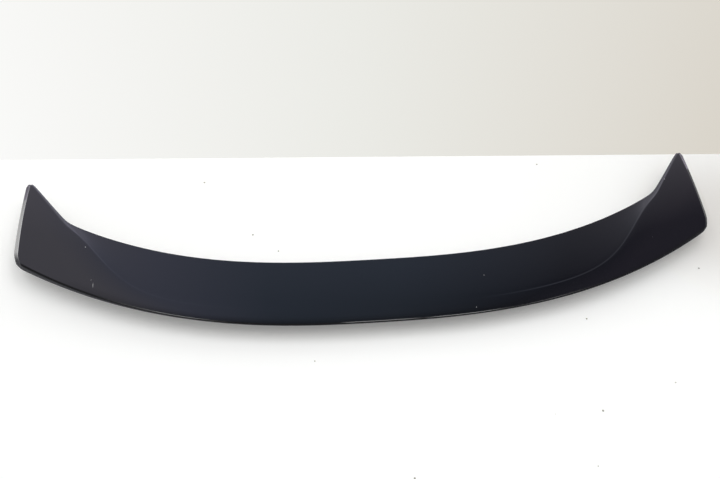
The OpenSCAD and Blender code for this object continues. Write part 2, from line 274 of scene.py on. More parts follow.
def volume_cm3(piece):
    mesh = piece.data
    mesh.calc_loop_triangles()
    corners = np.zeros(len(mesh.loop_triangles) * 3, int)
    mesh.loop_triangles.foreach_get("vertices", corners)
    co = np.zeros(len(mesh.vertices) * 3)
    mesh.vertices.foreach_get("co", co)
    p, q, r = co.reshape(-1, 3)[corners.reshape(-1, 3)].transpose(1, 0, 2)
    return float(np.einsum("ij,ij->", p, np.cross(q, r)) / 6 * 1e6)


# %% [markdown]
# ## The outer skin
# The lacquer shows every facet, so the skin's mesh is dense and follows the
# same curves as the solid it stands for. Rows crowd together at the crease and
# at the trailing edge, where the surface turns quickly. The upper edges are
# rounded by short arcs, and the lower edges by smaller ones.

# %% Rows and columns of the skin
SKIN_HALF_COLUMNS = 190
PLACE_ROUNDS = 3
LIP_ROWS = [0, 0.015, 0.04, 0.08, 0.13, 0.19]
LIP_ROWS += [0.26, 0.34, 0.42, 0.5, 0.58, 0.66, 0.74, 0.82, 0.9, 0.96]
CREASE_STEPS = [6, 4.2, 3, 2.1, 1.5, 1.0, 0.65, 0.35]
NEAR_CREASE_SHARE, FAR_CREASE_SHARE = 0.4, 0.42
SCOOP_ROWS = [0.05, 0.1, 0.16, 0.22, 0.28, 0.34, 0.4, 0.46, 0.52, 0.58]
SCOOP_ROWS += [0.64, 0.7, 0.76, 0.82, 0.87, 0.91, 0.94, 0.965, 0.985, 1]

skin_columns = np.sin(np.linspace(-math.pi / 2, math.pi / 2, 2 * SKIN_HALF_COLUMNS + 1))


def skin_lines():
    """Each row as (zone, value): a share of the lip or scoop, or a distance from the crease."""
    lines = [("lip", s) for s in LIP_ROWS]
    lines += [("before", d) for d in CREASE_STEPS]
    lines += [("before", 0.0)]
    lines += [("after", d) for d in reversed(CREASE_STEPS)]
    lines += [("scoop", s) for s in SCOOP_ROWS]
    return lines


def line_y(line, x, rear, front):
    """Forward position of a row at x, between insets from the rear and the front."""
    zone, value = line
    start = trail_y(x) + rear
    end = lead_y(x) - front * horn_gain(x)
    fold = trail_y(x) + crease_v(x) * (lead_y(x) - trail_y(x))
    near = np.minimum(CREASE_STEPS[0], NEAR_CREASE_SHARE * (fold - start))
    far = np.minimum(CREASE_STEPS[0], FAR_CREASE_SHARE * (end - fold))
    if zone == "lip":
        return start + value * (fold - near - start)
    if zone == "before":
        return fold - near * value / CREASE_STEPS[0]
    if zone == "after":
        return fold + far * value / CREASE_STEPS[0]
    return fold + far + value * (end - fold - far)


def skin_plan(u, line, inset_side, rear, front):
    """Plan position and share of the chord of a grid point, moved in from the edges.

    The side's place depends on the chord's share and that on x, so it is found in rounds.
    """
    x = u * (HALF_WIDTH - inset_side)
    for _ in range(PLACE_ROUNDS):
        y = line_y(line, x, rear, front)
        v = np.clip((y - trail_y(x)) / (lead_y(x) - trail_y(x)), 0, 1)
        lean_in = SIDE_DRAFT + CORNER_CHAMFER * (1 - v)
        x = u * (side_x(v) - inset_side - lean_in)
    return x, y, v


def bevel(u):
    """The rear edge is rounded a little more towards the ends."""
    return EDGE_ROUND + END_BEVEL * np.abs(u) ** BEVEL_POWER


def skin_row(u, line, inset, rear, drop):
    x, y, v = skin_plan(u, line, inset, rear, inset)
    return np.stack([x, y, top_z(x, y) - drop], -1)


lines = skin_lines()
skin_upper = np.stack([
    skin_row(skin_columns, line, EDGE_ROUND, bevel(skin_columns), 0) for line in lines
])
skin_lower = np.stack([
    skin_row(skin_columns, line, SKIN_WALL, SKIN_WALL, SKIN_WALL) for line in lines
])
print("skin grid", skin_upper.shape[:2])


# %% Rings of the skin
def lean(x):
    """How far the rear face leans forward for each millimetre down."""
    end_share = share(x) ** LEAN_POWER
    return np.tan(np.radians(REAR_LEAN * (1 - end_share) + REAR_LEAN_END * end_share))


def lower_edge(u, line, wall):
    """Point of the lower edge: on the lid at the sides and the nose, higher under the lip."""
    is_rear = line == lines[0]
    v = 0.0
    x0 = u * HALF_WIDTH
    for _ in range(PLACE_ROUNDS):
        x0 = u * side_x(np.asarray(v))
        y0 = line_y(line, x0, 0, 0)
        v = np.clip((y0 - trail_y(x0)) / (lead_y(x0) - trail_y(x0)), 0, 1)
    full = plane_z(trail_y(x0)) - lid_z(x0, trail_y(x0))
    depth = LIP_DEPTH + (full - LIP_DEPTH) * share(x0) ** LIP_GROWTH if is_rear else 0
    x = u * (side_x(v) - wall)
    y = line_y(line, x, depth * lean(x0) + wall, wall)
    low = lid_z(x, y)
    if is_rear:
        low = np.maximum(low, plane_z(trail_y(x0)) - depth)
    return np.array([x, y, low])


cells = rim_cells(len(skin_columns), len(lines))
rim_uv = [(skin_columns[i], lines[j]) for i, j in cells]


def rim_ring(across, down):
    """Ring of the rounded edge, by its shares of the rounding across and down."""
    return np.array([
        skin_row(u, line, EDGE_ROUND * across, bevel(u) * across, EDGE_ROUND * down)
        for u, line in rim_uv
    ])


ROUND_STEPS = 6
skin_rings = []
for step in range(1, ROUND_STEPS + 1):
    angle = math.pi / 2 * step / ROUND_STEPS
    skin_rings.append(rim_ring(1 - math.sin(angle), 1 - math.cos(angle)))
outer_top = skin_rings[-1]
outer_low = np.array([lower_edge(u, line, 0.0) for u, line in rim_uv])
inner_low = np.array([lower_edge(u, line, SKIN_WALL) for u, line in rim_uv])
inner_top = np.array([skin_lower[j, i] for i, j in cells])
print("rim points", len(rim_uv))


# %% Edges of the skin
LONGEST_CUT, LOW_ROUND, CORNER_FULLNESS = 0.45, 0.45, 0.4
OUTER_BANDS, INNER_BANDS = (0.12, 0.3, 0.5, 0.7), (0.4, 0.8)


def between(a, b, t):
    return a + (b - a) * t


def near_end(a, b, distance):
    """Point on the way from a to b, that far before b."""
    length = np.linalg.norm(b - a, axis=1, keepdims=True)
    return b + (a - b) * np.minimum(LONGEST_CUT, distance / length)


skin_rings += [between(outer_top, outer_low, t) for t in OUTER_BANDS]
low_outside = near_end(outer_top, outer_low, LOW_ROUND)
low_inside = near_end(inner_low, outer_low, LOW_ROUND)
corner = between(low_outside, low_inside, 0.5)
skin_rings += [
    near_end(outer_top, outer_low, 3 * LOW_ROUND),
    low_outside,
    between(corner, outer_low, CORNER_FULLNESS),
    low_inside,
    near_end(outer_low, inner_low, LOW_ROUND),
    near_end(inner_top, inner_low, LOW_ROUND),
]
skin_rings += [between(inner_low, inner_top, t) for t in INNER_BANDS]

skin = shell_object("gloss_skin", skin_upper, skin_rings, skin_lower)
print("skin", len(skin.data.polygons), "faces,", round(volume_cm3(skin), 1), "cm3")

# %% [markdown]
# ## Node groups that more than one finish uses
# A moulded part is never perfectly even. Three small groups give the finishes
# their detail: slow waves of tone and shine, a fine grain for moulded plastic
# and foam, and sparse specks of settled dust. Each group puts out only values,
# and each finish sets its own scale and strength. A few helpers keep the trees
# short: an input that is handed a socket is linked, any other value is set.


# %% Helpers for node trees
NODES_IN_ROW, NODE_PITCH = 8, 280


def feed(tree, node, inputs):
    """Link or set the named inputs of a node."""
    for key, value in inputs.items():
        if isinstance(value, bpy.types.NodeSocket):
            tree.links.new(value, node.inputs[key])
        else:
            node.inputs[key].default_value = value


def add(tree, kind, inputs=None, **settings):
    """A new node, laid out in rows in the order in which the nodes are made."""
    row, column = divmod(len(tree.nodes), NODES_IN_ROW)
    node = tree.nodes.new(kind)
    node.location = (NODE_PITCH * column, -NODE_PITCH * row)
    for key, value in settings.items():
        setattr(node, key, value)
    feed(tree, node, inputs or {})
    return node


def calc(tree, operation, *values, clamp=False):
    """One step of arithmetic on sockets and numbers."""
    inputs = dict(enumerate(values))
    node = add(tree, "ShaderNodeMath", inputs, operation=operation, use_clamp=clamp)
    return node.outputs["Value"]


def calc_vector(tree, operation, *values):
    """One step of vector arithmetic. LENGTH and DISTANCE give a plain value."""
    node = add(tree, "ShaderNodeVectorMath", dict(enumerate(values)), operation=operation)
    return node.outputs["Value" if operation in ("LENGTH", "DISTANCE") else "Vector"]


def add_range(tree, source, taken=(0, 1), given=(0, 1), **settings):
    """Map the taken range of a value to the given one."""
    ends = {"From Min": taken[0], "From Max": taken[1], "To Min": given[0], "To Max": given[1]}
    node = add(tree, "ShaderNodeMapRange", {"Value": source, **ends}, **settings)
    return node.outputs["Result"]


def new_group(name, inputs, outputs):
    """A shader group with a Vector, named inputs with their defaults, and value outputs."""
    group = bpy.data.node_groups.new(name, "ShaderNodeTree")
    face = group.interface
    face.new_socket(name="Vector", in_out="INPUT", socket_type="NodeSocketVector")
    for label, value in inputs.items():
        kind = "NodeSocketVector" if isinstance(value, tuple) else "NodeSocketFloat"
        face.new_socket(name=label, in_out="INPUT", socket_type=kind).default_value = value
    for label in outputs:
        face.new_socket(name=label, in_out="OUTPUT", socket_type="NodeSocketFloat")
    given = add(group, "NodeGroupInput").outputs
    return group, given, add(group, "NodeGroupOutput")


# %% Slow waves in a lacquered or moulded surface
def make_waves():
    group, given, out = new_group("surface waves", {"Scale": 200.0}, ["Height", "Tone"])
    fine = add(group, "ShaderNodeTexNoise", {
        "Vector": given["Vector"], "Scale": given["Scale"], "Detail": 2,
    })
    slow = add(group, "ShaderNodeTexNoise", {
        "Vector": given["Vector"], "Scale": 6, "Detail": 3,
    })
    feed(group, out, {"Height": fine.outputs["Fac"], "Tone": slow.outputs["Fac"]})
    return group


WAVES = make_waves()


# %% Grain of moulded plastic and foam
PORE_EDGE, CELL_WEIGHT = (0.08, 0.3), 0.6


def make_grain():
    group, given, out = new_group("fine grain", {"Scale": 2500.0}, ["Height", "Pores"])
    follow = {"Vector": given["Vector"], "Scale": given["Scale"]}
    cell = add(group, "ShaderNodeTexVoronoi", follow).outputs["Distance"]
    rough = add(group, "ShaderNodeTexNoise", {**follow, "Detail": 4}).outputs["Fac"]
    feed(group, out, {
        "Height": calc(group, "MULTIPLY_ADD", cell, CELL_WEIGHT, rough),
        "Pores": add_range(group, cell, taken=PORE_EDGE),
    })
    return group


GRAIN = make_grain()


# %% Dust that has settled
def make_dust():
    """A share of the cells holds one speck each, of up to the given size."""
    sizes = {"Scale": 60.0, "Size": 0.03, "Share": 0.2}
    group, given, out = new_group("settled dust", sizes, ["Mask"])
    cell = add(group, "ShaderNodeTexVoronoi", {
        "Vector": given["Vector"], "Scale": given["Scale"],
    }).outputs
    split = add(group, "ShaderNodeSeparateColor", {"Color": cell["Color"]}).outputs
    chosen = calc(group, "LESS_THAN", split["Red"], given["Share"])
    size = calc(group, "MULTIPLY", split["Green"], given["Size"])
    near = calc(group, "LESS_THAN", cell["Distance"], size)
    feed(group, out, {"Mask": calc(group, "MULTIPLY", near, chosen)})
    return group


DUST = make_dust()
print("groups", [g.name for g in (WAVES, GRAIN, DUST)])


# %% Starting a finish
def start_finish(name):
    """An empty material, its tree, its object coordinates and its Principled shader."""
    material = bpy.data.materials.new(name)
    material.use_nodes = True
    tree = material.node_tree
    tree.nodes.clear()
    where = add(tree, "ShaderNodeTexCoord").outputs["Object"]
    shader = add(tree, "ShaderNodeBsdfPrincipled")
    add(tree, "ShaderNodeOutputMaterial", {"Surface": shader.outputs["BSDF"]})
    return material, tree, where, shader


def use_group(tree, group, where, **values):
    inputs = {"Vector": where, **values}
    return add(tree, "ShaderNodeGroup", inputs, node_tree=group).outputs


def as_rgb(color):
    """A colour as it stands, or a grey from one number."""
    return color if isinstance(color, tuple) else (color,) * 3


def mix_colors(tree, factor, first, second):
    colors = {}
    for key, value in (("A", first), ("B", second)):
        is_socket = isinstance(value, bpy.types.NodeSocket)
        colors[key] = value if is_socket else (*as_rgb(value), 1)
    inputs = {"Factor": factor, **colors}
    return add(tree, "ShaderNodeMix", inputs, data_type="RGBA").outputs["Result"]


def add_bump(tree, height, shader, strength, distance):
    inputs = {"Strength": strength, "Distance": distance, "Height": height}
    bump = add(tree, "ShaderNodeBump", inputs)
    feed(tree, shader, {"Normal": bump.outputs["Normal"]})


def set_finish(piece, material):
    piece.data.materials.clear()
    piece.data.materials.append(material)


# %% [markdown]
# ## Black lacquer
# The skin is sprayed black and polished. What the eye sees is almost only the
# clear layer's reflection, so the base is very dark and the shine comes from
# the shader. The lacquer has the faint orange-peel waves that spraying leaves,
# slow changes of shine from wiping, and a few specks of dust. Five small light
# grey spots and one short scratch are set at given places. The spot on the
# right horn's flank is a painted highlight, a glint, and the others are specks.
# Each is a small ellipsoid in object space: the mask is one where a point falls
# inside it.


# %% A small mark at a given place
MARK_EDGE = (1.0, 0.6)


def make_mark():
    sizes = {"Place": (0, 0, 0), "Reach": (0.001, 0.001, 0.001)}
    group, given, out = new_group("small mark", sizes, ["Mask"])
    away = calc_vector(group, "SUBTRACT", given["Vector"], given["Place"])
    scaled = calc_vector(group, "DIVIDE", away, given["Reach"])
    distance = calc_vector(group, "LENGTH", scaled)
    feed(group, out, {"Mask": add_range(group, distance, taken=MARK_EDGE)})
    return group


MARK = make_mark()

# %% Lacquer finish
# Places and sizes of the spots and the scratch; the fourth spot, on the right horn's flank, is
# a painted glint.
MARKS_AND_GLINT = [
    ((-0.4845, 0.1104, 0.0375), (0.0011, 0.0012, 0.006)),
    ((0.1847, 0.0131, 0.0219), (0.0008, 0.0012, 0.006)),
    ((0.1603, -0.0543, 0.0236), (0.0008, 0.001, 0.006)),
    ((0.5467, 0.1942, 0.0438), (0.001, 0.0012, 0.008)),
    ((-0.4703, 0.0417, 0.0325), (0.0006, 0.001, 0.006)),
    ((-0.4664, 0.0312, 0.0314), (0.0006, 0.0055, 0.006)),
]
LACQUER_DARK, LACQUER_LIGHT = (0.0065, 0.0065, 0.007), (0.0085, 0.0085, 0.009)
# Light grey and dullness of the dust, the specks, the scratch and the painted glint.
MARK_AND_GLINT_GREY, MARK_AND_GLINT_DULLNESS = 0.28, 0.5


def make_lacquer():
    material, tree, where, shader = start_finish("black lacquer")
    waves = use_group(tree, WAVES, where, Scale=260.0)
    dust = use_group(tree, DUST, where, Scale=45.0, Size=0.016, Share=0.05)
    # Dust, specks, the scratch and the painted glint share one mask.
    dust_marks_and_glint = dust["Mask"]
    for place, reach in MARKS_AND_GLINT:
        mark = use_group(tree, MARK, where, Place=place, Reach=reach)
        dust_marks_and_glint = calc(tree, "MAXIMUM", dust_marks_and_glint, mark["Mask"])
    base = mix_colors(tree, waves["Tone"], LACQUER_DARK, LACQUER_LIGHT)
    polish = add_range(tree, waves["Tone"], given=(0.03, 0.08))
    feed(tree, shader, {
        "Base Color": mix_colors(tree, dust_marks_and_glint, base, MARK_AND_GLINT_GREY),
        "Roughness": calc(tree, "MULTIPLY_ADD", dust_marks_and_glint, MARK_AND_GLINT_DULLNESS, polish),
        "IOR": 1.5,
    })
    add_bump(tree, waves["Height"], shader, strength=0.05, distance=0.0002)
    return material


set_finish(skin, make_lacquer())
print("lacquer on", skin.name)

# %% [markdown]
# ## The bare inner side of the skin
# Spray paint covers only what shows. The inner side of the moulding stays bare:
# black plastic, dull, with a fine even grain and a thin mist of overspray. It
# is a second material on the same piece, given to the faces of the lower grid
# and of the rings above the lower edge.


# %% Bare plastic finish
def make_bare_plastic():
    material, tree, where, shader = start_finish("bare plastic")
    grain = use_group(tree, GRAIN, where, Scale=1800.0)
    waves = use_group(tree, WAVES, where, Scale=90.0)
    dark, light = (0.012, 0.012, 0.013), (0.024, 0.024, 0.026)
    feed(tree, shader, {
        "Base Color": mix_colors(tree, waves["Tone"], dark, light),
        "Roughness": add_range(tree, waves["Height"], given=(0.42, 0.62)),
    })
    add_bump(tree, grain["Height"], shader, strength=0.25, distance=0.0002)
    return material


skin.data.materials.append(make_bare_plastic())
PAINTED_EDGE_RINGS = 5
grid_faces = (len(lines) - 1) * (len(skin_columns) - 1)
ring_faces = len(rim_uv)
painted_bands = ROUND_STEPS + len(OUTER_BANDS) + PAINTED_EDGE_RINGS
finish_of = np.zeros(len(skin.data.polygons), int)
finish_of[grid_faces:2 * grid_faces] = 1
finish_of[2 * grid_faces + painted_bands * ring_faces:] = 1
skin.data.polygons.foreach_set("material_index", finish_of)
skin.data.update()
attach(skin, "root")
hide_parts("outer_skin")
print("bare faces", int(finish_of.sum()), "of", len(finish_of))

# %% [markdown]
# ## Round pieces
# Bosses, seal rings and studs are turned shapes. A helper turns a profile of
# radius and height about an upright axis. A profile that starts and ends on
# the axis gives a solid, and one that closes on itself gives a ring. Corners
# of a profile get short bevels first, because real edges are never sharp.


# %% Helpers for turned shapes
TURN_STEPS = 72
SHARP_FROM = math.radians(40)


def soften(profile, size, closed=False):
    """Cut each corner of a profile that lies off the axis by a short bevel."""
    points = [np.array(p, float) for p in profile]
    count = len(points)
    result = []
    for i, point in enumerate(points):
        is_end = not closed and i in (0, count - 1)
        if is_end or point[0] == 0:
            result.append(point)
            continue
        for other in (points[i - 1], points[(i + 1) % count]):
            way = other - point
            result.append(point + way * min(LONGEST_CUT, size / np.linalg.norm(way)))
    return result


def shade(mesh, sharp_from):
    mesh.shade_smooth()
    mesh.set_sharp_from_angle(angle=sharp_from)


def plain_mesh(name, points_mm, faces):
    mesh = bpy.data.meshes.new(name)
    mesh.from_pydata((np.array(points_mm) / 1000).tolist(), [], faces)
    shade(mesh, SHARP_FROM)
    mesh.update()
    return mesh


def turned_mesh(name, profile, place=(0, 0, 0), closed=False):
    """Turn a profile, given in millimetres from the bottom up, about an upright axis."""
    points, faces, rings = [], [], []
    for radius, height in profile:
        if radius == 0:
            rings.append([len(points)] * TURN_STEPS)
            points.append(np.array((0, 0, height)) + place)
            continue
        rings.append(list(range(len(points), len(points) + TURN_STEPS)))
        for k in range(TURN_STEPS):
            angle = 2 * math.pi * k / TURN_STEPS
            ray = np.array((radius * math.cos(angle), radius * math.sin(angle), height))
            points.append(ray + place)
    pairs = list(zip(rings[:-1], rings[1:]))
    if closed:
        pairs.append((rings[-1], rings[0]))
    for low, high in pairs:
        for k in range(TURN_STEPS):
            m = (k + 1) % TURN_STEPS
            faces.append(list(dict.fromkeys([low[k], low[m], high[m], high[k]])))
    return plain_mesh(name, points, faces)


def add_piece(name, mesh):
    piece = bpy.data.objects.new(name, mesh)
    bpy.context.scene.collection.objects.link(piece)
    return piece


def face_out(piece):
    """Turn the faces of a closed piece outwards where they point inwards."""
    if volume_cm3(piece) < 0:
        piece.data.flip_normals()
    return piece


# %% Stud places
INNER_SPACING, OUTER_INSET, OUTER_FORWARD = 350.0, 138.0, 78.0
BOSS_D, BOSS_RISE, BOSS_DROP = 20.0, 6.0, 1.0
SHOULDER_D, STUD_CLEARANCE = 7.0, 0.6
BORE_D = SHOULDER_D + STUD_CLEARANCE
TAPE_GAP = 0.2

stud_places = {
    "inner_left": (-INNER_SPACING / 2, 0.0),
    "inner_right": (INNER_SPACING / 2, 0.0),
    "outer_left": (OUTER_INSET - HALF_WIDTH, OUTER_FORWARD),
    "outer_right": (HALF_WIDTH - OUTER_INSET, OUTER_FORWARD),
}


def lid_at(place):
    return float(lid_z(np.array(place[0]), np.array(place[1])))


print("lid under the studs", {key: round(lid_at(at), 2) for key, at in stud_places.items()})

# %% [markdown]
# ## The inner panel
# Under the skin sits a second moulding, a shallow tray whose rim is glued to
# the skin. It carries four bosses for the studs and six drain holes. The tray
# is another closed shell from two grids. The bosses are joined to it and the
# holes cut from it with Boolean modifiers, which are then applied, so the
# piece is one clean mesh.

# %% Tray of the panel
PANEL_HALF_COLUMNS, PANEL_ROW_COUNT = 130, 31
PANEL_EDGE = 0.5
panel_rows = np.linspace(0, 1, PANEL_ROW_COUNT)
panel_columns = np.sin(np.linspace(-math.pi / 2, math.pi / 2, 2 * PANEL_HALF_COLUMNS + 1))


def rear_height(x):
    """Height of the trailing edge over the lid."""
    return plane_z(trail_y(x)) - lid_z(x, trail_y(x))


def rear_set(x, drop):
    """How far the tray's rear lies in front of the trailing edge, that far down."""
    return drop * lean(x) + SKIN_WALL + GLUE_GAP


def panel_place(u, v, inset_side, drop, extra):
    """Plan position of a grid point of the tray, moved in by an extra on all sides."""
    x = u * (side_x(v) - inset_side)
    start = trail_y(x) + rear_set(x, drop(x)) + extra
    end = lead_y(x, TIP_REACH - PANEL_TIP_INSET) - (PANEL_SETBACK + extra) * horn_gain(x)
    return x, start + v * (end - start)


def panel_low(u, v, extra, lift):
    """A point of the tray's floor, just over the lid."""
    x, y = panel_place(u, v, SKIN_WALL + PANEL_STEP + END_PLAY + extra, rear_height, extra)
    return np.stack([x, y, lid_z(x, y) + PANEL_STEP + lift], -1)


def panel_rim(u, v, extra):
    """A point of the tray's rim, glued under the skin."""
    inset = SIDE_DRAFT + CORNER_CHAMFER * (1 - v) + SKIN_WALL + END_PLAY + extra
    x, y = panel_place(u, v, inset, lambda x: SKIN_WALL + GLUE_GAP, extra)
    return np.stack([x, y, top_z(x, y) - SKIN_WALL - GLUE_GAP], -1)


across, along = np.meshgrid(panel_columns, panel_rows)
tray_cells = rim_cells(len(panel_columns), len(panel_rows))
rim_u = np.array([panel_columns[i] for i, j in tray_cells])
rim_v = np.array([panel_rows[j] for i, j in tray_cells])
tray_top = panel_low(across, along, PANEL_WALL, PANEL_WALL)
tray_bottom = panel_low(across, along, PANEL_EDGE, 0)
rim_inner, rim_outer = panel_rim(rim_u, rim_v, PANEL_WALL), panel_rim(rim_u, rim_v, 0)
rim_base = panel_low(rim_u, rim_v, 0, 0)
tray = shell_object("tray", tray_top, [
    rim_inner,
    near_end(rim_inner, rim_outer, PANEL_EDGE),
    near_end(rim_base, rim_outer, PANEL_EDGE),
    between(rim_outer, rim_base, 0.5),
    near_end(rim_outer, rim_base, PANEL_EDGE),
], tray_bottom)
print("tray", len(tray.data.polygons), "faces,", round(volume_cm3(tray), 1), "cm3")


# %% Bosses and holes
def join_meshes(name, meshes):
    """One mesh from several."""
    points, faces, start = [], [], 0
    for mesh in meshes:
        points += [tuple(v.co) for v in mesh.vertices]
        faces += [[start + k for k in polygon.vertices] for polygon in mesh.polygons]
        start += len(mesh.vertices)
    joined = bpy.data.meshes.new(name)
    joined.from_pydata(points, [], faces)
    return joined


def rod(diameter, low, high):
    """Profile of an upright rod."""
    return [(0, low), (diameter / 2, low), (diameter / 2, high), (0, high)]


def cut_or_join(piece, other, operation):
    change = piece.modifiers.new(operation.lower(), "BOOLEAN")
    change.operation = operation
    change.solver = "EXACT"
    change.object = other
    other.hide_render = True


CUT_PAST, DRAIN_TOP, BOSS_BEVEL = 5.0, 60.0, 0.6
DRAIN_D, DRAIN_SETBACK, TAPE_WIDTH = 6.0, 16.0, 12.0
DRAIN_PLACES = (0.12, 0.56, 0.88)
PANEL_SHARP_FROM = math.radians(35)

boss_meshes, hole_meshes = [], []
for place in stud_places.values():
    low, high = lid_at(place) - BOSS_DROP, lid_at(place) + BOSS_RISE
    boss = soften(rod(BOSS_D, low, high), BOSS_BEVEL)
    boss_meshes.append(turned_mesh("boss", boss, (*place, 0)))
    bore = rod(BORE_D, low - CUT_PAST, high + CUT_PAST)
    hole_meshes.append(turned_mesh("bore", bore, (*place, 0)))
for part_share in DRAIN_PLACES:
    x = part_share * HALF_WIDTH
    y = float(trail_y(x) + rear_set(x, rear_height(x))) + TAPE_WIDTH + DRAIN_SETBACK
    for side_sign in (-1, 1):
        drain = rod(DRAIN_D, -CUT_PAST, DRAIN_TOP)
        hole_meshes.append(turned_mesh("drain", drain, (side_sign * x, y, 0)))

bosses = add_piece("bosses", join_meshes("bosses", boss_meshes))
holes = add_piece("holes", join_meshes("holes", hole_meshes))
cut_or_join(tray, bosses, "UNION")
cut_or_join(tray, holes, "DIFFERENCE")
result = tray.evaluated_get(bpy.context.evaluated_depsgraph_get())
panel = add_piece("glued_panel", bpy.data.meshes.new_from_object(result))
for helper in (tray, bosses, holes):
    bpy.data.objects.remove(helper)
shade(panel.data, PANEL_SHARP_FROM)
print("panel", len(panel.data.polygons), "faces,", round(volume_cm3(panel), 1), "cm3")

# %% [markdown]
# ## Matt moulded plastic
# The panel is never painted. Its mould was eroded to an even matt grain, with
# slow flow marks where the plastic filled it, and ejector pins have left faint
# round marks in rows.


# %% Panel finish
PIN_RADIUS, PIN_LINE = 0.055, 0.006


def make_pin_marks():
    group, given, out = new_group("ejector pin marks", {"Scale": 16.0}, ["Mask"])
    flat = calc_vector(group, "MULTIPLY", given["Vector"], (1, 1, 0))
    cell = add(group, "ShaderNodeTexVoronoi", {
        "Vector": flat, "Scale": given["Scale"], "Randomness": 0.25,
    }).outputs["Distance"]
    ring = calc(group, "COMPARE", cell, PIN_RADIUS, PIN_LINE)
    feed(group, out, {"Mask": ring})
    return group


PIN_MARKS = make_pin_marks()


def make_matt_plastic():
    material, tree, where, shader = start_finish("matt plastic")
    grain = use_group(tree, GRAIN, where, Scale=2200.0)
    waves = use_group(tree, WAVES, where, Scale=60.0)
    pins = use_group(tree, PIN_MARKS, where, Scale=16.0)
    dark, light, worn = (0.022, 0.022, 0.023), (0.036, 0.036, 0.038), (0.055, 0.055, 0.057)
    color = mix_colors(tree, waves["Tone"], dark, light)
    feed(tree, shader, {
        "Base Color": mix_colors(tree, pins["Mask"], color, worn),
        "Roughness": add_range(tree, grain["Pores"], given=(0.52, 0.7)),
    })
    add_bump(tree, grain["Height"], shader, strength=0.35, distance=0.0002)
    return material


set_finish(panel, make_matt_plastic())
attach(panel, "root")
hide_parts("inner_panel")

# %% [markdown]
# ## Foam tape
# Six strips of double-sided foam tape hold the panel's edges down on the lid.
# A strip is a rounded band that follows the edge of the panel at an even
# distance. Its section moves along a line of places, and the foam shows open
# pores on its faces.

# %% Strips of tape
TAPE_THICKNESS, TAPE_MARGIN, TAPE_START = 1.6, 4.0, 14.0
FRONT_TAPE_GAP, REAR_TAPE_GAP = 50.0, 40.0
END_TAPE_INSET, END_TAPE_REAR, END_TAPE_FRONT = 22.0, 32.0, 62.0
STRIP_STEPS, END_STRIP_STEPS = 120, 40
TAPE_ROUND, ROUND_POINTS = 0.35, 4
end_strip_side = HALF_WIDTH - END_TAPE_INSET - TAPE_WIDTH / 2


def tape_section():
    """Rounded band: distance from its middle line, and depth below its top face."""
    points = []
    for i, (cx, cz) in enumerate([(-1, -1), (1, -1), (1, 1), (-1, 1)]):
        for step in range(ROUND_POINTS):
            angle = math.radians(180 + 90 * (i + step / (ROUND_POINTS - 1)))
            aside = cx * (TAPE_WIDTH / 2 - TAPE_ROUND) + TAPE_ROUND * math.cos(angle)
            down = cz * (TAPE_THICKNESS / 2 - TAPE_ROUND) + TAPE_ROUND * math.sin(angle)
            points.append((aside, down - TAPE_THICKNESS / 2))
    return points


def strip_piece(name, line, sideways):
    """A strip whose section follows a line of places on the lid."""
    section = tape_section()
    count = len(section)
    points = []
    for x, y in line:
        for aside, down in section:
            px, py = x + aside * sideways[0], y + aside * sideways[1]
            points.append((px, py, lid_at((px, py)) + PANEL_STEP - TAPE_GAP + down))
    faces = []
    for i in range(len(line) - 1):
        for k in range(count):
            a, b = i * count + k, i * count + (k + 1) % count
            faces.append([a, b, b + count, a + count])
    last = (len(line) - 1) * count
    faces.append(list(range(count))[::-1])
    faces.append([last + k for k in range(count)])
    return face_out(add_piece(name, plain_mesh(name, points, faces)))


def front_line(x):
    return lead_y(x) - (PANEL_SETBACK + TAPE_MARGIN + TAPE_WIDTH / 2) * horn_gain(x)


def rear_line(x):
    return trail_y(x) + rear_set(x, rear_height(x)) + TAPE_MARGIN + TAPE_WIDTH / 2


LINE_KINDS = (("front", front_line, FRONT_TAPE_GAP), ("rear", rear_line, REAR_TAPE_GAP))
end_rear = float(trail_y(HALF_WIDTH - END_TAPE_INSET)) + END_TAPE_REAR
end_front = TIP_REACH - END_TAPE_FRONT
strips = {}
for side_name, sign in (("left", -1), ("right", 1)):
    for kind, line_of, gap in LINE_KINDS:
        xs = np.linspace(TAPE_START, end_strip_side - gap, STRIP_STEPS)
        line = [(sign * x, float(line_of(x))) for x in xs]
        name = f"{kind}_{side_name}"
        strips[f"tape_{name}"] = strip_piece(f"foam_strip_{name}", line, (0, -1))
    end_x = sign * (HALF_WIDTH - END_TAPE_INSET)
    line = [(end_x, y) for y in np.linspace(end_rear, end_front, END_STRIP_STEPS)]
    strips[f"tape_end_{side_name}"] = strip_piece(f"foam_strip_end_{side_name}", line, (1, 0))
print("tape", {name: round(volume_cm3(piece), 2) for name, piece in strips.items()})


# %% Foam finish
def make_foam(name, dark, light, scale):
    material, tree, where, shader = start_finish(name)
    grain = use_group(tree, GRAIN, where, Scale=scale)
    waves = use_group(tree, WAVES, where, Scale=150.0)
    tone = mix_colors(tree, grain["Pores"], dark, light)
    wear = add_range(tree, waves["Tone"], given=(0.0, 0.35))
    feed(tree, shader, {
        "Base Color": mix_colors(tree, wear, tone, light),
        "Roughness": 0.92,
        "Specular IOR Level": 0.25,
    })
    add_bump(tree, grain["Height"], shader, strength=0.6, distance=0.0003)
    return material


TAPE_FOAM = make_foam("tape foam", (0.014, 0.014, 0.015), (0.05, 0.05, 0.053), 1500.0)
for node_name, piece in strips.items():
    set_finish(piece, TAPE_FOAM)
    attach(piece, "root")
    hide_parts(node_name)
print("foam on", len(strips), "strips")

# %% [markdown]
# ## Seal rings
# A soft ring sits round each stud, under its boss. Pressed on the lid it keeps
# water out. It is a turned ring with well rounded edges.

# %% Rings
SEAL_D, SEAL_THICKNESS = 20.0, 4.0
SEAL_BEVELS = (0.9, 0.3)
SEAL_FOAM = make_foam("seal foam", (0.02, 0.02, 0.022), (0.075, 0.075, 0.08), 900.0)

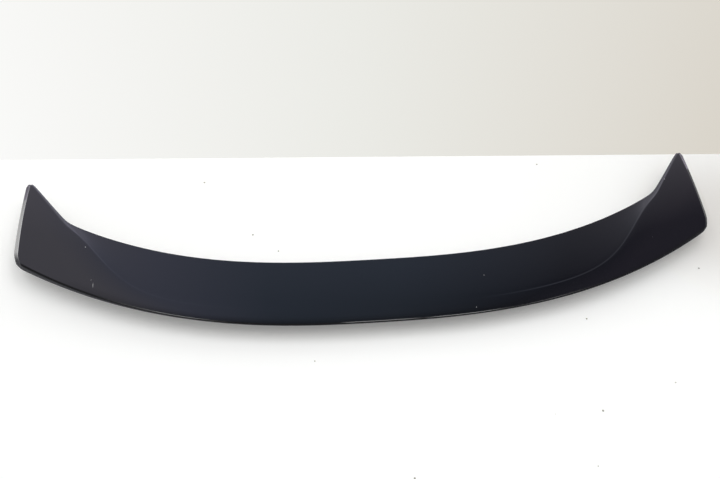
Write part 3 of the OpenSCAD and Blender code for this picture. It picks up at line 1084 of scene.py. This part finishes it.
for key, place in stud_places.items():
    top = lid_at(place) - BOSS_DROP - TAPE_GAP
    low = top - SEAL_THICKNESS
    outline = [(BORE_D / 2, low), (SEAL_D / 2, low), (SEAL_D / 2, top), (BORE_D / 2, top)]
    for size in SEAL_BEVELS:
        outline = soften(outline, size, closed=True)
    ring = add_piece(f"foam_ring_{key}", turned_mesh("ring", outline, (*place, 0), closed=True))
    set_finish(face_out(ring), SEAL_FOAM)
    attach(ring, "root")
    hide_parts(f"seal_{key}")
print("seal ring", round(volume_cm3(ring), 2), "cm3")

# %% [markdown]
# ## Threaded studs
# A stud has a head and a flange inside the panel, a smooth shoulder through
# the boss and a rolled thread below. The thread repeats, turn after turn, so
# Geometry Nodes make it: a flat grid is rolled up, its first side becomes the
# turn about the axis and its second the height, and each point's radius
# follows the thread's phase. The sizes are named inputs of the tree.

# %% Tree for a rolled thread
THREAD_SIZES = ("Length", "Pitch", "Radius", "Depth", "Chamfer")
THREAD_INPUTS = [("Geometry", "Geometry")]
THREAD_INPUTS += [(label, "Float") for label in THREAD_SIZES]
THREAD_INPUTS += [("Rows", "Int"), ("Finish", "Material")]
POINTS_A_TURN = 49
CREST_SHARE, FLANK_SHARE = 0.12, 0.68
NEARLY_HALF = 0.4999
WELD_DISTANCE = 1e-6


def make_thread_tree():
    tree = bpy.data.node_groups.new("rolled thread", "GeometryNodeTree")
    tree.is_modifier = True
    face = tree.interface
    for label, kind in THREAD_INPUTS:
        face.new_socket(name=label, in_out="INPUT", socket_type="NodeSocket" + kind)
    face.new_socket(name="Geometry", in_out="OUTPUT", socket_type="NodeSocketGeometry")
    given = add(tree, "NodeGroupInput").outputs
    grid = add(tree, "GeometryNodeMeshGrid", {
        "Size X": 1, "Size Y": 1, "Vertices X": POINTS_A_TURN, "Vertices Y": given["Rows"],
    })
    here = add(tree, "GeometryNodeInputPosition").outputs["Position"]
    split = add(tree, "ShaderNodeSeparateXYZ", {"Vector": here}).outputs
    turn_share = calc(tree, "ADD", split["X"], 0.5)
    height = calc(tree, "MULTIPLY", calc(tree, "ADD", split["Y"], 0.5), given["Length"])
    turns = calc(tree, "SUBTRACT", calc(tree, "DIVIDE", height, given["Pitch"]), turn_share)
    doubled = calc(tree, "MULTIPLY", calc(tree, "FRACT", turns), 2)
    saw = calc(tree, "ABSOLUTE", calc(tree, "SUBTRACT", doubled, 1))
    past_crest = calc(tree, "SUBTRACT", saw, CREST_SHARE)
    flank = calc(tree, "DIVIDE", past_crest, FLANK_SHARE, clamp=True)
    cut = calc(tree, "MULTIPLY", flank, given["Depth"])
    thread = calc(tree, "SUBTRACT", given["Radius"], cut)
    tip = calc(tree, "SUBTRACT", given["Radius"], given["Chamfer"])
    radius = calc(tree, "MINIMUM", thread, calc(tree, "ADD", tip, height))
    inside = calc(tree, "LESS_THAN", calc(tree, "ABSOLUTE", split["Y"]), NEARLY_HALF)
    radius = calc(tree, "MULTIPLY", radius, inside)
    angle = calc(tree, "MULTIPLY", turn_share, 2 * math.pi)
    place = add(tree, "ShaderNodeCombineXYZ", {
        "X": calc(tree, "MULTIPLY", radius, calc(tree, "COSINE", angle)),
        "Y": calc(tree, "MULTIPLY", radius, calc(tree, "SINE", angle)),
        "Z": height,
    }).outputs["Vector"]
    mesh = grid.outputs["Mesh"]
    for kind, inputs in (
        ("GeometryNodeSetPosition", {"Position": place}),
        ("GeometryNodeMergeByDistance", {"Distance": WELD_DISTANCE}),
        ("GeometryNodeRealizeInstances", {}),
        ("GeometryNodeSetMaterial", {"Material": given["Finish"]}),
    ):
        mesh = add(tree, kind, {"Geometry": mesh, **inputs}).outputs["Geometry"]
    add(tree, "NodeGroupOutput", {"Geometry": mesh})
    return tree


THREAD_TREE = make_thread_tree()
print("tree", THREAD_TREE.name, "with", len(THREAD_TREE.nodes), "nodes")


# %% Steel finish
def make_steel():
    material, tree, where, shader = start_finish("zinc plated steel")
    waves = use_group(tree, WAVES, where, Scale=900.0)
    grain = use_group(tree, GRAIN, where, Scale=3000.0)
    dark, light = (0.5, 0.5, 0.51), (0.66, 0.66, 0.65)
    feed(tree, shader, {
        "Base Color": mix_colors(tree, waves["Height"], dark, light),
        "Metallic": 1.0,
        "Roughness": add_range(tree, grain["Pores"], given=(0.24, 0.4)),
    })
    add_bump(tree, grain["Height"], shader, strength=0.12, distance=0.0001)
    return material


STEEL = make_steel()

# %% Studs
STUD_DROP, STUD_D, STUD_BEVEL, STUD_CHAMFER = 20.0, 6.0, 0.3, 1.0
THREAD_PITCH, THREAD_DEPTH, THREAD_OVERLAP = 1.0, 0.55, 0.5
FLANGE_D, FLANGE_T, HEAD_D, HEAD_T = 15.0, 2.5, 10.0, 3.0
ROWS_PER_TURN = 10
STUD_SHARP_FROM = math.radians(38)


def threaded_mesh(length):
    """The thread from the tree, in metres, standing on the origin."""
    piece = add_piece("thread", bpy.data.meshes.new("thread"))
    roller = piece.modifiers.new("thread", "NODES")
    roller.node_group = THREAD_TREE
    values = {
        "Length": length / 1000,
        "Pitch": THREAD_PITCH / 1000,
        "Radius": STUD_D / 2000,
        "Depth": THREAD_DEPTH / 1000,
        "Chamfer": STUD_CHAMFER / 1000,
        "Rows": int(length / THREAD_PITCH * ROWS_PER_TURN),
        "Finish": STEEL,
    }
    for socket in THREAD_TREE.interface.items_tree:
        if socket.in_out == "INPUT" and socket.name in values:
            roller[socket.identifier] = values[socket.name]
    evaluated = piece.evaluated_get(bpy.context.evaluated_depsgraph_get())
    mesh = bpy.data.meshes.new_from_object(evaluated)
    bpy.data.objects.remove(piece)
    return mesh


for key, place in stud_places.items():
    seat = lid_at(place) + BOSS_RISE
    shoulder = lid_at(place) - BOSS_DROP - TAPE_GAP - SEAL_THICKNESS
    body = soften([
        (0, shoulder),
        (SHOULDER_D / 2, shoulder),
        (SHOULDER_D / 2, seat),
        (FLANGE_D / 2, seat),
        (FLANGE_D / 2, seat + FLANGE_T),
        (HEAD_D / 2, seat + FLANGE_T),
        (HEAD_D / 2, seat + FLANGE_T + HEAD_T),
        (0, seat + FLANGE_T + HEAD_T),
    ], STUD_BEVEL)
    turned = turned_mesh("stud body", body, (*place, 0))
    thread = threaded_mesh(shoulder + STUD_DROP + THREAD_OVERLAP)
    thread.transform(Matrix.Translation((place[0] / 1000, place[1] / 1000, -STUD_DROP / 1000)))
    stud = add_piece(f"zinc_stud_{key}", join_meshes("stud", [turned, thread]))
    shade(stud.data, STUD_SHARP_FROM)
    set_finish(stud, STEEL)
    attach(stud, "root")
    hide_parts(f"stud_{key}")
print("stud", len(stud.data.polygons), "faces,", round(volume_cm3(stud), 2), "cm3")

# %% [markdown]
# ## Table, wall and light
# The spoiler lies on a white table in front of a white wall. Gloss black shows
# its surroundings more than its own colour, so the room matters as much as the
# lacquer. Table and wall therefore look different to each kind of ray, and
# Light Path chooses: the camera sees a plain white table and a pale wall, and a
# glossy ray the brighter and darker parts that the lacquer reflects. They are a
# stand-in for the room in the photograph. The wall stands where the
# upper surface mirrors it. Low down it is bright, which gives the plateau its
# soft blue-grey, and it falls off upwards and to the right. Both are clear from
# behind, so that the spoiler can be looked at from every side.


# %% Table and wall
FLOOR_Z = cad_low[2]
TABLE_HALF = 4
WALL_LEFT = Vector((-3.0, 0.523, FLOOR_Z))
WALL_RIGHT = Vector((3.0, 0.1855, FLOOR_Z))
WALL_HEIGHT = 1.6


def flat_object(name, corners):
    mesh = bpy.data.meshes.new(name)
    mesh.from_pydata([tuple(c) for c in corners], [], [tuple(range(len(corners)))])
    piece = add_piece(name, mesh)
    return piece


table = flat_object("table", [
    (x * TABLE_HALF, y * TABLE_HALF, FLOOR_Z) for x, y in ((-1, -1), (1, -1), (1, 1), (-1, 1))
])
rise = Vector((0, 0, WALL_HEIGHT))
wall = flat_object("wall", [WALL_LEFT, WALL_RIGHT, WALL_RIGHT + rise, WALL_LEFT + rise])
print("table at", round(FLOOR_Z, 4))


# %% Helpers for the room's finishes
def ramp(tree, source, stops):
    """A colour ramp from a source, with stops of (position, colour or grey)."""
    node = add(tree, "ShaderNodeValToRGB", {"Fac": source})
    elements = node.color_ramp.elements
    while len(elements) < len(stops):
        elements.new(0.5)
    for element, (position, color) in zip(elements, stops):
        element.position = position
        element.color = (*as_rgb(color), 1)
    return node.outputs["Color"]


def axis_share(tree, source, axis, low, high):
    """How far a point lies between two places along an axis, from 0 to 1."""
    split = add(tree, "ShaderNodeSeparateXYZ", {"Vector": source}).outputs
    return add_range(tree, split[axis], taken=(low, high))


def emit(tree, color, strength=1.0):
    inputs = {"Color": color, "Strength": strength}
    return add(tree, "ShaderNodeEmission", inputs).outputs["Emission"]


def choose(tree, factor, first, second):
    """The second shader where the factor is 1, and the first where it is 0."""
    inputs = {"Fac": factor, 1: first, 2: second}
    return add(tree, "ShaderNodeMixShader", inputs).outputs["Shader"]


def clear_from_behind(tree, surface):
    clear = add(tree, "ShaderNodeBsdfTransparent").outputs["BSDF"]
    behind = add(tree, "ShaderNodeNewGeometry").outputs["Backfacing"]
    out = next(node for node in tree.nodes if node.type == "OUTPUT_MATERIAL")
    feed(tree, out, {"Surface": choose(tree, behind, surface, clear)})


# %% [markdown]
# ## White table
# The table is nearly white, with a few crumbs, and a painted shadow greys it
# beside the right end. Camera rays get some light of the table's own on top,
# so it stays white while the shadow of the spoiler still shows. Glossy rays
# see two ramps from left to right instead, a painted reflection of the table.
# One holds in front of a bent line under the spoiler and one behind it,
# because the rear face mirrors the table behind and the ends mirror the table
# in front. The ramp behind is dark, painted shade of the table near the
# spoiler and towards the camera.

# %% White table
# The darker table colour, spread round a point beside the right end, is a painted shadow.
TABLE_PAINTED_SHADOW, TABLE_LIT, CRUMB = (0.7, 0.68, 0.65), (0.9, 0.9, 0.885), (0.3, 0.29, 0.26)
PAINTED_SHADOW_PLACE, PAINTED_SHADOW_REACH = (0.69, 0.14, FLOOR_Z), (0.02, 0.26)
FLOOR_LIFT = 0.17
FLOOR_BEND, FLOOR_SPLIT, FLOOR_REACH = 0.4, (-0.035, -0.005), 0.7
# The glossy ramps are a painted reflection of the table; the dark ramp behind is painted shade.
FLOOR_FRONT = [
    (0.0, 1.6),
    (0.06, 1.6),
    (0.09, (0.3, 0.3, 0.32)),
    (0.7, (0.7, 0.7, 0.72)),
    (0.91, (0.7, 0.7, 0.72)),
    (0.95, 0.25),
]
FLOOR_BEHIND = [
    (0.0, (0.25, 0.25, 0.27)),
    (0.15, (0.15, 0.15, 0.17)),
    (0.35, (0.06, 0.06, 0.07)),
    (1.0, (0.05, 0.05, 0.06)),
]


def mirrored_table(tree, where):
    """What a glossy ray sees of the table."""
    across = axis_share(tree, where, "X", -FLOOR_REACH, FLOOR_REACH)
    split = add(tree, "ShaderNodeSeparateXYZ", {"Vector": where}).outputs
    square = calc(tree, "MULTIPLY", split["X"], split["X"])
    bent = calc(tree, "MULTIPLY_ADD", square, -FLOOR_BEND, split["Y"])
    in_front = add_range(tree, bent, taken=FLOOR_SPLIT)
    front = ramp(tree, across, FLOOR_FRONT)
    behind = ramp(tree, across, FLOOR_BEHIND)
    return emit(tree, mix_colors(tree, in_front, behind, front))


def make_table_finish():
    material, tree, where, shader = start_finish("white table")
    crumbs = use_group(tree, DUST, where, Scale=22.0, Size=0.055, Share=0.8)
    # Painted shadow: the table darkens towards a point beside the right end.
    apart = calc_vector(tree, "DISTANCE", where, PAINTED_SHADOW_PLACE)
    lit = add_range(tree, apart, taken=PAINTED_SHADOW_REACH, interpolation_type="SMOOTHSTEP")
    plain = mix_colors(tree, lit, TABLE_PAINTED_SHADOW, TABLE_LIT)
    color = mix_colors(tree, crumbs["Mask"], plain, CRUMB)
    feed(tree, shader, {"Base Color": color, "Roughness": 0.9, "Specular IOR Level": 0.0})
    seen = add(tree, "ShaderNodeLightPath").outputs
    lift = calc(tree, "MULTIPLY", seen["Is Camera Ray"], FLOOR_LIFT)
    lifted = add(tree, "ShaderNodeAddShader", {
        0: shader.outputs["BSDF"], 1: emit(tree, color, lift),
    }).outputs["Shader"]
    mirrored = mirrored_table(tree, where)
    surface = choose(tree, seen["Is Glossy Ray"], lifted, mirrored)
    clear_from_behind(tree, surface)
    return material


set_finish(table, make_table_finish())
print("table finish on", table.name)

# %% [markdown]
# ## White wall
# The camera sees a plain run of tone, pale at the left and darker and warmer
# at the right: painted shade where less light falls.
# A glossy ray sees one ramp from left to right low on the wall and another
# high up, mixed by the height, with a strength that fades above. A diffuse ray
# sees a plain bright card, which lights the table evenly.

# %% White wall
# Tone across the wall, darker at the right as painted shade.
WALL_SEEN_WITH_PAINTED_SHADE = [(0.0, (0.97, 0.97, 0.96)), (0.5, (0.83, 0.83, 0.79)), (1.0, (0.69, 0.65, 0.58))]
WALL_HIGH = [
    (0.15, (0.95, 0.92, 1.1)),
    (0.28, (0.6, 0.65, 0.95)),
    (0.4, (0.3, 0.4, 0.6)),
    (0.56, (0.22, 0.3, 0.45)),
    (0.74, (0.05, 0.06, 0.13)),
    (0.88, (0.17, 0.15, 0.25)),
]
WALL_LOW = [
    (0.1, (1.5, 1.4, 1.7)),
    (0.34, (0.85, 0.9, 1.2)),
    (0.55, (1.2, 1.4, 2.0)),
    (0.75, (1.1, 1.1, 1.3)),
    (0.88, (1.3, 1.2, 1.4)),
    (1.0, (0.35, 0.35, 0.4)),
]
WALL_STRENGTH = [(0.05, 0.7), (0.09, 1.0), (0.5, 1.0), (0.72, 0.35), (1.0, 0.1)]
WALL_LIGHT = [(0.0, 1.0), (0.5, 0.95), (1.0, 0.6)]
FAR_REACH, SEEN_REACH = 0.9, 0.75
LOW_WALL_Z, HIGH_WALL_Z = FLOOR_Z + 0.12, FLOOR_Z + 0.44


def mirrored_wall(tree, where, across):
    """What a glossy ray sees of the wall."""
    height = axis_share(tree, where, "Z", LOW_WALL_Z, HIGH_WALL_Z)
    whole_height = axis_share(tree, where, "Z", FLOOR_Z, FLOOR_Z + WALL_HEIGHT)
    bend = calc(tree, "SQRT", height)
    high = ramp(tree, across, WALL_HIGH)
    low = ramp(tree, across, WALL_LOW)
    color = mix_colors(tree, bend, low, high)
    return emit(tree, color, ramp(tree, whole_height, WALL_STRENGTH))


def make_wall_finish():
    material, tree, where, shader = start_finish("white wall")
    far_across = axis_share(tree, where, "X", -FAR_REACH, FAR_REACH)
    seen_across = axis_share(tree, where, "X", -SEEN_REACH, SEEN_REACH)
    feed(tree, shader, {
        "Base Color": (0.8, 0.8, 0.8, 1), "Roughness": 0.95, "Specular IOR Level": 0.0,
    })
    seen = add(tree, "ShaderNodeLightPath").outputs
    card = emit(tree, ramp(tree, far_across, WALL_LIGHT))
    # Camera rays see the wall with its painted shade.
    plain = emit(tree, ramp(tree, seen_across, WALL_SEEN_WITH_PAINTED_SHADE))
    mirrored = mirrored_wall(tree, where, far_across)
    surface = choose(tree, seen["Is Diffuse Ray"], shader.outputs["BSDF"], card)
    surface = choose(tree, seen["Is Glossy Ray"], surface, mirrored)
    surface = choose(tree, seen["Is Camera Ray"], surface, plain)
    clear_from_behind(tree, surface)
    return material


set_finish(wall, make_wall_finish())
print("wall finish on", wall.name)

# %% [markdown]
# ## World
# The world lights the object from all round: brightest at the left, weaker at
# the right, and at an even level from behind the camera. For glossy rays the
# part above and behind the camera is darker low down and near the zenith, with
# a soft band between, so the rounded edges show a fine bright line and not a
# white rim. The camera sees the world as a plain pale grey.

# %% World light
WORLD_ACROSS = [
    (0.0, 1.0),
    (0.35, (0.8, 0.83, 0.9)),
    (0.6, (0.4, 0.42, 0.48)),
    (1.0, (0.34, 0.34, 0.38)),
]
WORLD_IN_GLOSS = [
    (0.15, (0.05, 0.05, 0.055)),
    (0.32, (0.38, 0.38, 0.4)),
    (0.6, (0.38, 0.38, 0.4)),
    (0.78, (0.05, 0.05, 0.055)),
]
WORLD_BEHIND, WORLD_SEEN = 0.5, (0.93, 0.93, 0.92, 1)
LIGHT_TURN, GLOSS_TURN = (0.15, -0.25), (0.5, 0.1)


def sky(tree, color):
    return add(tree, "ShaderNodeBackground", {"Color": color}).outputs["Background"]


def make_world():
    world = bpy.data.worlds.new("studio")
    bpy.context.scene.world = world
    world.use_nodes = True
    tree = world.node_tree
    tree.nodes.clear()
    where = add(tree, "ShaderNodeTexCoord").outputs["Generated"]
    across = axis_share(tree, where, "X", -1.0, 1.0)
    behind = axis_share(tree, where, "Y", *LIGHT_TURN)
    above = axis_share(tree, where, "Y", *GLOSS_TURN)
    height = axis_share(tree, where, "Z", 0.0, 1.0)
    front = ramp(tree, across, WORLD_ACROSS)
    room = ramp(tree, height, WORLD_IN_GLOSS)
    light = sky(tree, mix_colors(tree, behind, front, WORLD_BEHIND))
    gloss = sky(tree, mix_colors(tree, above, front, room))
    plain = sky(tree, WORLD_SEEN)
    seen = add(tree, "ShaderNodeLightPath").outputs
    surface = choose(tree, seen["Is Glossy Ray"], light, gloss)
    surface = choose(tree, seen["Is Camera Ray"], surface, plain)
    add(tree, "ShaderNodeOutputWorld", {"Surface": surface})
    return world


print("world", make_world().name)

# %% [markdown]
# ## Soft boxes
# Four soft boxes hang over the table, and draw the glints on the trailing edge.
# In the middle of each hangs a short brighter strip that only glossy rays see,
# because the glint is less than a pixel wide and would otherwise fade.


# %% Soft boxes
def add_soft_box(name, place, width, length, radiance):
    """A soft box that hangs level over the table and shines down."""
    data = bpy.data.lights.new(name, "AREA")
    data.shape = "RECTANGLE"
    data.size = width
    data.size_y = length
    data.energy = radiance * math.pi * width * length
    lamp = bpy.data.objects.new(name, data)
    lamp.location = place
    bpy.context.scene.collection.objects.link(lamp)
    return lamp


BOX_Y, BOX_HEIGHT, BOX_LENGTH = -0.35, 2.4, 2.0
STRIP_BELOW, STRIP_LENGTH, STRIP_GAIN = 0.02, 0.5, 2
SOFT_BOXES = [
    ("left box", -0.98, 0.42, 4.3),
    ("middle box", 0.22, 0.32, 4.3),
    ("side box", 0.66, 0.4, 4.3),
    ("right box", 1.25, 0.4, 2.0),
]
for name, x, width, radiance in SOFT_BOXES:
    add_soft_box(name, (x, BOX_Y, BOX_HEIGHT), width, BOX_LENGTH, radiance)
for name, x, width, radiance in SOFT_BOXES:
    strip_place = (x, BOX_Y, BOX_HEIGHT - STRIP_BELOW)
    strip_gain = STRIP_GAIN * radiance
    strip = add_soft_box(name + " strip", strip_place, width, STRIP_LENGTH, strip_gain)
    strip.visible_diffuse = False
print("soft boxes", [lamp.name for lamp in bpy.data.lights])
